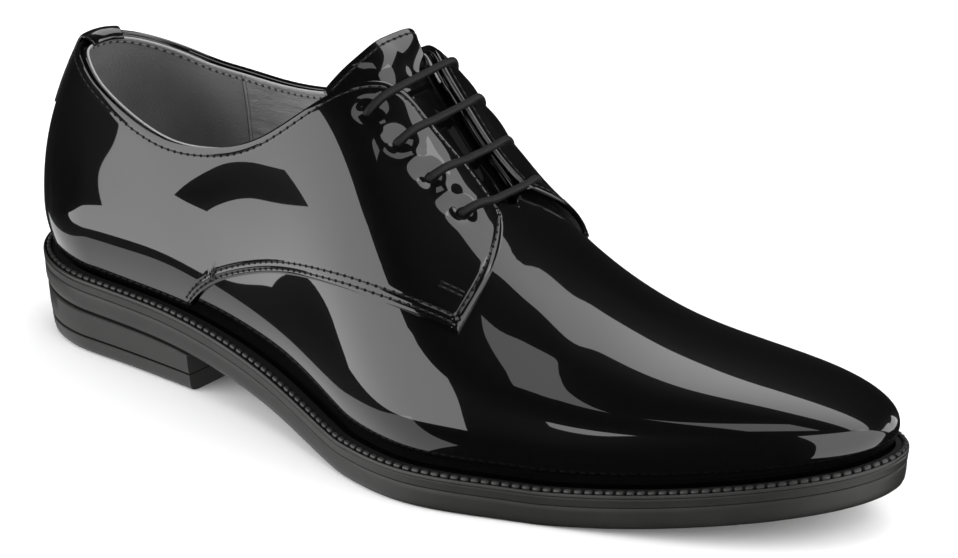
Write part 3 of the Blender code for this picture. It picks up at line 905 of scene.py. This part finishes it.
def quarter_surface(side):
    """Outer face of one quarter, a grid from back seam to front edge and from lower edge to topline.

    The sections near the front are drawn forward, most at the lower edge, and the rows crowd at both
    edges. The face is dented at each eyelet, swells between two of them, stands out over the facing's
    stiffener, sinks in under each row of stitches, and rolls down at its edges.
    """
    ends, counts = zip(*QUARTER_STEPS)
    starts = (0.0, *ends[:-1])
    parts = [np.linspace(*part, endpoint=False) for part in zip(starts, ends, counts)]
    along = np.concatenate([*parts, ends[-1:]])
    t = 0.5 - 0.5 * np.cos(np.pi * np.linspace(0, 1, QUARTER_ROWS))
    q_throat = parameter(THROAT_FRONT)
    q, t = np.meshgrid(parameter(along), t, indexing="ij")
    late = (q / q_throat) ** FRONT_DRAW
    q = np.maximum(q, parameter(QUARTER_BACK))
    q_front, q_corner = parameter(QUARTER_FRONT[side]), parameter(FACING_FRONT[side])
    ahead = (q_front - q_corner) * (1 - t**FRONT_CURVE) ** FRONT_ROUND
    q = q + (q_corner - q_throat + ahead) * late
    side_of = np.full(q.shape, side)
    low = quarter_low(q, side_of)
    level = low + (top_level(q, side_of) - low) * t
    plain = lifted(q, level, side_of, QUARTER_OUT)
    centres = eyelet_centres(side)
    between = (centres[1:] + centres[:-1]) / 2
    from_foot, from_top, from_front = (run_from(plain, edge) for edge in ("foot", "top", "front"))
    forward = np.clip((station(q) - QUARTER_EDGE[0][0]) / FOOT_BLEND, 0, 1)
    from_eyelet = np.linalg.norm(plain[:, :, None] - centres, axis=-1)
    from_between = np.linalg.norm(plain[:, :, None] - between, axis=-1)
    lift = QUARTER_OUT + waviness(plain)
    lift = lift - EYELET_DENT[side] * bell(from_eyelet, EYELET_REACH).sum(-1)
    lift = lift + BETWEEN_SWELL[side] * bell(from_between, EYELET_REACH).sum(-1)
    facing_at, facing_reach, facing_share = np.array(FACING).T
    past_facing = from_top - np.interp(station(q), facing_at, facing_reach)
    stiff = 1 / (1 + np.exp(past_facing / FACING_SOFT))
    lift = lift + FACING_STEP * stiff * np.interp(station(q), facing_at, facing_share)
    for row in FOOT_ROWS:
        lift = lift - GROOVE_DEPTH * bell(from_foot - row, GROOVE_WIDTH) * forward
    lift = lift - GROOVE_DEPTH * bell(from_top - TOP_ROW, GROOVE_WIDTH)
    lift = lift - GROOVE_DEPTH * bell(from_front - FRONT_ROW, GROOVE_WIDTH)
    roll = np.exp(-np.minimum(from_top, from_front) / EDGE_REACH)
    lift = lift - EDGE_ROLL * np.maximum(roll, forward * np.exp(-from_foot / EDGE_REACH))
    if side == INNER:
        lift = lift + FLARE * np.exp(-from_front / FLARE_REACH)
    return lifted(q, level, side_of, lift)


patent_edge = patent_finish("patent_leather_edge")
quarters = {}
for name, node, side in (
    ("quarter_panel_outer", "quarter_outer", OUTER),
    ("quarter_panel_inner", "quarter_inner", INNER),
):
    sheet = quarter_surface(side)
    faces = grid_faces(*sheet.shape[:2])
    faces = faces[:, ::-1] if side == INNER else faces
    piece = put(name, sheet, faces, patent, lining, patent_edge, closed=False, sharp=LEATHER_SHARP)
    thicken(piece, QUARTER_OUT - QUARTER_IN, rim=2)
    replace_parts(piece, node)
    quarters[side] = sheet

# Stitching: waxed black thread in lock stitches, in two rows along each quarter's lower edge and one
# along its front edge and topline, with two short rows that tack its front corner. Each stitch ends in
# a needle hole, drawn as a near-black matt pebble: painted shade.
STITCH_PITCH = 0.0028
STITCH_SIZE = (0.00085, 0.00028, 0.00022)
HOLE_SHADE_SIZE = (0.00062, 0.00055, 0.00016)
FOOT_START = 0.001
# length left free of stitches at the start and at the end of a row
FOOT_TRIM = (0.0, 0.0022)
TOP_TRIM = (0.0, 0.0032)
FRONT_TRIM = (0.0050, 0.0045)
TACK_TRIM = (0.0, 0.0036)
# place inside the shoe that outward normals point away from
INSIDE = (0.15, 0.0, 0.02)


def inset_line(sheet, edge, distance):
    """Line at one distance from a sheet's edge: a place and outward normal on each grid line."""
    run = run_from(sheet, edge)
    along, up = np.gradient(sheet, axis=0), np.gradient(sheet, axis=1)
    normal = np.cross(along, up)
    normal = normal / np.maximum(np.linalg.norm(normal, axis=-1, keepdims=True), TINY)
    normal = normal * np.sign((normal * (sheet - INSIDE)).sum((0, 1, 2)))
    both = np.concatenate([sheet, normal], -1)
    if edge == "front":
        run, both = run.T, both.transpose(1, 0, 2)
    line = []
    for lengths, values in zip(run, both):
        way = 1 if lengths[0] < lengths[-1] else -1
        line.append([np.interp(distance, lengths[::way], column[::way]) for column in values.T])
    return np.array(line)


def thread_finish(name, grey, roughness):
    """Twisted thread: strands in a darker and a lighter shade of one grey."""
    material, nodes, links, shader = new_finish(name)
    place = nodes.new("ShaderNodeTexCoord")
    twist = preset(nodes.new("ShaderNodeTexNoise"), Scale=3000.0)
    dark, light = grey * 0.6, grey * 1.4
    colours = colour_ramp(nodes, ((0.0, (dark, dark, dark)), (1.0, (light, light, light))))
    preset(shader, Roughness=roughness, Specular_IOR_Level=0.25)
    wire(
        links,
        (place, "Object", twist, "Vector"),
        (twist, "Fac", colours, "Fac"),
        (colours, "Color", shader, "Base Color"),
    )
    return material


def sewn(name, lines, thread, hole, pitch=STITCH_PITCH):
    """Stitches of some rows as one mesh, and as another a dark pebble between each two, painted shade
    for the needle hole.

    A row is a line of places with their normals, and its trim.
    """
    stitches, hole_shades = [], []
    for line, trim in lines:
        for phase, kept in ((0.5, stitches), (0.0, hole_shades)):
            at, along = even_places(line, pitch, trim, phase)
            up = at[:, 3:] / np.linalg.norm(at[:, 3:], axis=1, keepdims=True)
            along = along - up * (along * up).sum(1, keepdims=True)
            along = along / np.linalg.norm(along, axis=1, keepdims=True)
            kept.append((at[:, :3], along, up))
    for label, kept, sizes, material in (
        (name, stitches, STITCH_SIZE, thread),
        (name + "_hole_shades", hole_shades, HOLE_SHADE_SIZE, hole),
    ):
        centres, along, up = (np.concatenate(columns) for columns in zip(*kept))
        put(label, *pebbles(centres, along, up, sizes), material)


thread = thread_finish("stitch_thread", 0.012, 0.35)
# near-black matt grey for the pebble at each needle hole: painted shade
needle_hole_shade = thread_finish("needle_hole_shade", 0.0015, 0.9)
stitch_rows = []
for side in (OUTER, INNER):
    sheet = quarters[side]
    for distance in FOOT_ROWS:
        line = inset_line(sheet, "foot", distance)
        stitch_rows.append((line[line[:, 0] > QUARTER_EDGE[0][0] + FOOT_START], FOOT_TRIM))
    stitch_rows.append((inset_line(sheet, "top", TOP_ROW), TOP_TRIM))
    stitch_rows.append((inset_line(sheet, "front", FRONT_ROW), FRONT_TRIM))
    for distance in TACK_ROWS:
        line = inset_line(sheet, "foot", distance)
        ahead = np.linalg.norm(line[:, :3] - line[-1, :3], axis=1)
        stitch_rows.append((line[ahead < TACK_LENGTH], TACK_TRIM))
sewn("quarter_stitches", stitch_rows, thread, needle_hole_shade)

# Topline binding: the lining's top edge, turned and folded to a fine bead inside the leather; the bead
# is real, and its grey, paler than the lining's, is painted highlight along the topline.
# A row of grey stitches under the bead sews lining and leather together.
BINDING_RADIUS = 0.00038
BINDING_END = 0.1490
BINDING_BACK = 1e-6
BINDING_STEPS = 321
BINDING_AROUND = 10
LINING_ROW = 0.020
LINING_TRIM = 0.004


def tube(path, radius, around):
    """Round cord carried along a path: circles square to the path, closed by a point at each end.

    The radius is one number, or one for each place along and around.
    """
    step = np.gradient(path, axis=0)
    step = step / np.linalg.norm(step, axis=1, keepdims=True)
    never_along = [1.0, 0.2, 0.1]
    side = np.cross(step, never_along)
    side = side / np.linalg.norm(side, axis=1, keepdims=True)
    up = np.cross(step, side)
    a = np.linspace(0, 2 * np.pi, around, endpoint=False)
    circle = np.cos(a)[:, None] * side[:, None] + np.sin(a)[:, None] * up[:, None]
    rings = path[:, None] + np.broadcast_to(radius, circle.shape[:2])[..., None] * circle
    first = np.repeat(path[:1, None], around, 1)
    end = np.repeat(path[-1:, None], around, 1)
    return np.concatenate([first, rings, end])


binding_t = np.linspace(-1, 1, BINDING_STEPS)
binding_side = np.where(binding_t < 0, OUTER, INNER)
binding_q = np.maximum(parameter(BINDING_END * binding_t**2), BINDING_BACK)
binding_level = top_level(binding_q, binding_side)
binding_path = lifted(binding_q, binding_level - TOPLINE_DROP, binding_side, -WALL + BINDING_RADIUS)
binding_rings = tube(binding_path, BINDING_RADIUS, BINDING_AROUND)
# paler grey than the lining: a real bead whose paleness is painted highlight
binding_highlight_finish = thread_finish("binding_edge_highlight", 0.30, 0.6)
binding = put("topline_binding", binding_rings, wrapped_faces(*binding_rings.shape[:2]), binding_highlight_finish)
row_level = binding_level - LINING_ROW
row_line = lifted(binding_q, row_level, binding_side, -WALL)
row_normal = lifted(binding_q, row_level, binding_side, -2 * WALL) - row_line
lining_thread = thread_finish("lining_thread", 0.17, 0.6)
# dark pebble at each needle hole between the lining stitches: painted shade
lining_hole_shade = thread_finish("lining_hole_shade", 0.035, 0.9)
lining_line = np.concatenate([row_line, row_normal], 1)
sewn("lining_stitches", [(lining_line, LINING_TRIM)], lining_thread, lining_hole_shade)

# Back strip: a short strip of patent leather over the back seam. Its top end is folded over the topline
# and ends at the lining.
TAB_REACH = 0.0032
TAB_FOOT = 0.255
TAB_THICKNESS = 0.0009
TAB_ROWS = 24
TAB_COLUMNS = 30
# section level from the topline, lift of the face, from the inside over the edge to the outside
TAB_FOLD = (
    (0.000, -0.0027),
    (0.007, -0.0024),
    (0.012, -0.0013),
    (0.014, 0.0004),
    (0.012, 0.0022),
    (0.006, 0.0032),
    (-0.010, 0.0034),
)
strip_points, strip_faces = [], []
for side in (OUTER, INNER):
    over, face_lift = np.array(TAB_FOLD).T
    count = len(over) + TAB_ROWS
    q = np.linspace(0, parameter(TAB_REACH), TAB_COLUMNS)[:, None] + np.zeros(count)
    side_of = np.full(q.shape, side)
    top = top_level(q[:, :1], side_of[:, :1])
    down = TAB_FOOT + (top + over[-1] - TAB_FOOT) * np.linspace(1, 0, TAB_ROWS + 1)[1:]
    level = np.concatenate([top + over, down], 1)
    lift = np.concatenate([face_lift, np.full(TAB_ROWS, face_lift[-1])])
    faces = grid_faces(*q.shape, first=sum(len(p) for p in strip_points))
    strip_points.append(lifted(q, level, side_of, lift).reshape(-1, 3))
    strip_faces.append(faces if side == INNER else faces[:, ::-1])
back_strip = put(
    "back_seam_strip", np.concatenate(strip_points), np.concatenate(strip_faces), patent, patent,
    closed=False, sharp=LEATHER_SHARP,
)
thicken(back_strip, TAB_THICKNESS)
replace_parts(back_strip, "back_strip")

# Tongue: patent leather lined with grey leather, sewn in under the vamp at the throat, lying under the
# facings and standing up behind them.
TONGUE_FRONT = 0.188
# length over which it rises, how much earlier that starts in the middle, and over which share across
TONGUE_RUN = 0.0045
TONGUE_EARLY = 0.0022
EARLY_REACH = 0.45
# gap under the upper's wall
TONGUE_CLEAR = 0.0012
TONGUE_THICKNESS = 0.0018
# section level of the outer edge, of the inner edge
TONGUE_LEVELS = (0.62, 0.52)
TONGUE_ROW = 0.0023
TONGUE_PITCH = 0.0024
TONGUE_TRIM = 0.003
TONGUE_STEPS = (90, 101)
TONGUE_CROWD = 0.8
OPENING_MIDDLE = 0.110
TOPLINE_CORNER = 0.1447
TOPLINE_STEPS = 80
# place across from the outer edge at -1 to the inner edge at 1, station of the top edge, rise, lean
TONGUE = (
    (-1.0, 0.1262, 0.0027, 0.0011),
    (-0.5, 0.1317, 0.0036, 0.0004),
    (0.0, 0.1331, 0.0048, -0.0003),
    (0.5, 0.1346, 0.0061, 0.0022),
    (1.0, 0.1359, 0.0077, 0.0097),
)


def leaving_station(level, side):
    """Station where a line of constant section level comes out from under the topline."""
    x = np.linspace(OPENING_MIDDLE, TOPLINE_CORNER, TOPLINE_STEPS)
    tops = [top_level(parameter(x), np.full(x.shape, s)) for s in (OUTER, INNER)]
    return np.where(side == OUTER, np.interp(level, tops[0], x), np.interp(level, tops[1], x))


def tongue_surface():
    """Upper face of the tongue, a grid from its top edge to the throat and from outer to inner edge.

    It follows the last under the facings. Behind the topline it rises to its table's height and leans
    to the inner side, both growing as one minus a bell curve of the distance past the topline.
    """
    back = np.linspace(1, 0, TONGUE_STEPS[0]) ** TONGUE_CROWD
    back, across = np.meshgrid(back, np.linspace(-1, 1, TONGUE_STEPS[1]), indexing="ij")
    side = np.where(across < 0, OUTER, INNER)
    level = 1 - np.abs(across) * (1 - np.where(side == OUTER, *TONGUE_LEVELS))
    top, rise, lean = (curve_through(TONGUE, column)(across) for column in (1, 2, 3))
    x = TONGUE_FRONT + (top - TONGUE_FRONT) * back
    sheet = lifted(parameter(x), level, side, -WALL - TONGUE_CLEAR)
    out = np.maximum(leaving_station(level, side) + TONGUE_EARLY * bell(across, EARLY_REACH) - x, 0)
    grow = 1 - bell(out, TONGUE_RUN)
    sheet[..., 2] += rise * grow
    sheet[..., 1] += lean * grow
    return sheet


tongue_sheet = tongue_surface()
tongue_faces = grid_faces(*tongue_sheet.shape[:2])
tongue = put(
    "tongue_panel", tongue_sheet, tongue_faces, patent, lining,
    closed=False, sharp=LEATHER_SHARP,
)
thicken(tongue, TONGUE_THICKNESS)
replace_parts(tongue, "tongue")
tongue_line = inset_line(tongue_sheet[::-1], "front", TONGUE_ROW)
tongue_line[:, 3:] *= np.sign(tongue_line[:, 5].sum())
sewn("tongue_stitches", [(tongue_line, TONGUE_TRIM)], thread, needle_hole_shade, pitch=TONGUE_PITCH)

# Lace: one round waxed cotton cord, 2.4 mm, in four straight bars. Each bar comes up through an eyelet,
# lies over both facings, and goes down through the eyelet across from it.
LACE_RADIUS = 0.0012
PLAIT = 0.0026
RELIEF = 0.06
LACE_STEPS = 170
LACE_AROUND = 16
BAR_STEPS = 5
# share of the way from eyelet to facing edge, lift in radii, way forward
LACE_ROUTE = (
    (-0.06, -2.40, 0.0000),
    (0.03, -0.50, 0.0002),
    (0.45, 0.75, 0.0012),
    (1.00, 0.30, 0.0026),
)
lace_cord = thread_finish("lace_cord", 0.0035, 0.60)
lace_points, lace_faces = [], []
for at, outer_level, inner_level in EYELETS:
    share, lift, forward = np.array(LACE_ROUTE).T
    q = parameter(at + forward)
    route = []
    for side, level in ((OUTER, outer_level), (INNER, inner_level)):
        side_of = np.full(len(q), side)
        levels = level + (top_level(q, side_of) - level) * share
        route.append(lifted(q, levels, side_of, QUARTER_OUT + LACE_RADIUS * lift)[::-side])
    bar = np.linspace(route[0][-1], route[1][0], BAR_STEPS)[1:-1]
    path = smooth_path(np.concatenate([route[0], bar, route[1]]), LACE_STEPS)
    slant = 2 * np.pi * run_along(path)[:, None] / PLAIT
    turn = np.linspace(0, 2 * np.pi, LACE_AROUND, endpoint=False)
    plait = RELIEF * np.sin(slant + 2 * turn) * np.sin(slant - 2 * turn)
    rings = tube(path, LACE_RADIUS * (1 + plait), LACE_AROUND)
    lace_faces.append(wrapped_faces(*rings.shape[:2], first=sum(len(p) for p in lace_points)))
    lace_points.append(rings.reshape(-1, 3))
lace = put("lace_bars", np.concatenate(lace_points), np.concatenate(lace_faces), lace_cord)
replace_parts(lace, "lace_bar_1", "lace_bar_2", "lace_bar_3", "lace_bar_4")

# Studio: a plain pale floor, a bright surround and the camera at the photograph's angle. Soft panels
# give the leather its light reflections, and two black cards leave dark patches in the quarter's.
CAMERA_TARGET = (0.0, 0.001, 0.040)
CAMERA_AZIMUTH = 37.9
CAMERA_ELEVATION = 22.17
CAMERA_DISTANCE = 0.800
CAMERA_LENS = 100.0
CAMERA_SENSOR = 36.0
CAMERA_SHIFT = (0.0538, 0.0162)
CAMERA_NEAR = 0.01
FLOOR_REACH = 12.0
# strength of the surround for all rays but glossy ones, and for those
SKY_FILL = 0.8
SKY_GLOSS = 0.02
PANEL_DISTANCE = 1.5
PANEL_AIM = (0.0, 0.0, 0.05)
# name, azimuth, elevation and roll in degrees, width, height, brightness
PANELS = (
    ("panel_side", -30.0, 10.0, 0.0, 2.26, 1.90, 3.2),
    ("panel_low", -62.0, -43.0, 0.0, 2.50, 0.94, 1.3),
    ("panel_back", 176.0, 55.0, -13.0, 1.85, 0.46, 2.6),
    ("panel_top", 50.0, 77.0, 20.0, 0.70, 0.44, 1.6),
    ("panel_toe", 90.0, 8.0, 0.0, 2.10, 3.60, 2.3),
    ("panel_inner", 148.0, 14.0, 0.0, 0.90, 0.70, 3.0),
)
# name, centre, half its length, half its height
CARDS = (
    (
        "black_card_side",
        (-0.0956, -0.0745, 0.0709),
        (-0.0037, -0.0208, 0.0155),
        (0.0012, 0.0067, 0.0037),
    ),
    (
        "black_card_heel",
        (-0.1692, -0.0504, 0.0726),
        (0.0092, -0.0296, 0.0027),
        (0.0045, 0.0055, 0.0458),
    ),
)


def flat_sheet(name, centre, half_length, half_height, grey, roughness):
    """Flat four-cornered sheet of the stage in one grey, from its centre and its two half sides."""
    corners = np.array([(-1, -1), (1, -1), (1, 1), (-1, 1)])
    points = np.array(centre) + corners @ np.array([half_length, half_height])
    material, _, _, shader = new_finish(name)
    preset(shader, Base_Color=(grey, grey, grey, 1.0), Roughness=roughness)
    mesh = bpy.data.meshes.new(name)
    mesh.from_pydata(points.tolist(), [], [(0, 1, 2, 3)])
    mesh.materials.append(material)
    sheet = bpy.data.objects.new(name, mesh)
    bpy.context.scene.collection.objects.link(sheet)
    return sheet


def toward(azimuth, elevation):
    """Unit vector from the shoe to a place at an azimuth and an elevation, both in radians."""
    flat = np.cos(elevation)
    return np.array([np.sin(azimuth) * flat, -np.cos(azimuth) * flat, np.sin(elevation)])


floor = flat_sheet(
    "studio_floor", (0, 0, 0), (FLOOR_REACH, 0, 0), (0, FLOOR_REACH, 0),
    grey=0.90, roughness=0.9,
)
floor.visible_glossy = False

azimuth, elevation = np.radians(CAMERA_AZIMUTH), np.radians(CAMERA_ELEVATION)
camera_data = bpy.data.cameras.new("camera")
camera_data.lens = CAMERA_LENS
camera_data.sensor_width = CAMERA_SENSOR
camera_data.shift_x, camera_data.shift_y = CAMERA_SHIFT
camera_data.clip_start = CAMERA_NEAR
camera = bpy.data.objects.new("camera", camera_data)
camera.location = CAMERA_TARGET + CAMERA_DISTANCE * toward(azimuth, elevation)
camera.rotation_euler = (np.pi / 2 - elevation, 0.0, azimuth)
bpy.context.scene.collection.objects.link(camera)
bpy.context.scene.camera = camera

for name, *angles, width, height, brightness in PANELS:
    azimuth, elevation, roll = np.radians(angles)
    away = toward(azimuth, elevation)
    right = np.array([np.cos(azimuth), np.sin(azimuth), 0.0])
    up = np.cross(away, right)
    rolled_right = np.cos(roll) * right + np.sin(roll) * up
    rolled_up = np.cos(roll) * up - np.sin(roll) * right
    light = bpy.data.lights.new(name, "AREA")
    light.shape = "RECTANGLE"
    light.size, light.size_y = width, height
    light.energy = np.pi * width * height * brightness
    lamp = bpy.data.objects.new(name, light)
    lamp.location = PANEL_AIM + PANEL_DISTANCE * away
    lamp.rotation_euler = Matrix(np.stack([rolled_right, rolled_up, away], 1).tolist()).to_euler()
    lamp.visible_camera = False
    bpy.context.scene.collection.objects.link(lamp)

for name, *shape in CARDS:
    card = flat_sheet(name, *shape, grey=0.01, roughness=1.0)
    card.visible_camera = False
    card.visible_shadow = False
    card.visible_diffuse = False

world = bpy.data.worlds.new("studio")
world.use_nodes = True
sky = world.node_tree.nodes
background = preset(sky["Background"], Color=(1.0, 1.0, 1.0, 1.0))
ray = sky.new("ShaderNodeLightPath")
surround = preset(sky.new("ShaderNodeMapRange"), To_Min=SKY_FILL, To_Max=SKY_GLOSS)
wire(
    world.node_tree.links,
    (ray, "Is Glossy Ray", surround, "Value"),
    (surround, "Result", background, "Strength"),
)
bpy.context.scene.world = world
bpy.context.scene.view_settings.view_transform = "Standard"
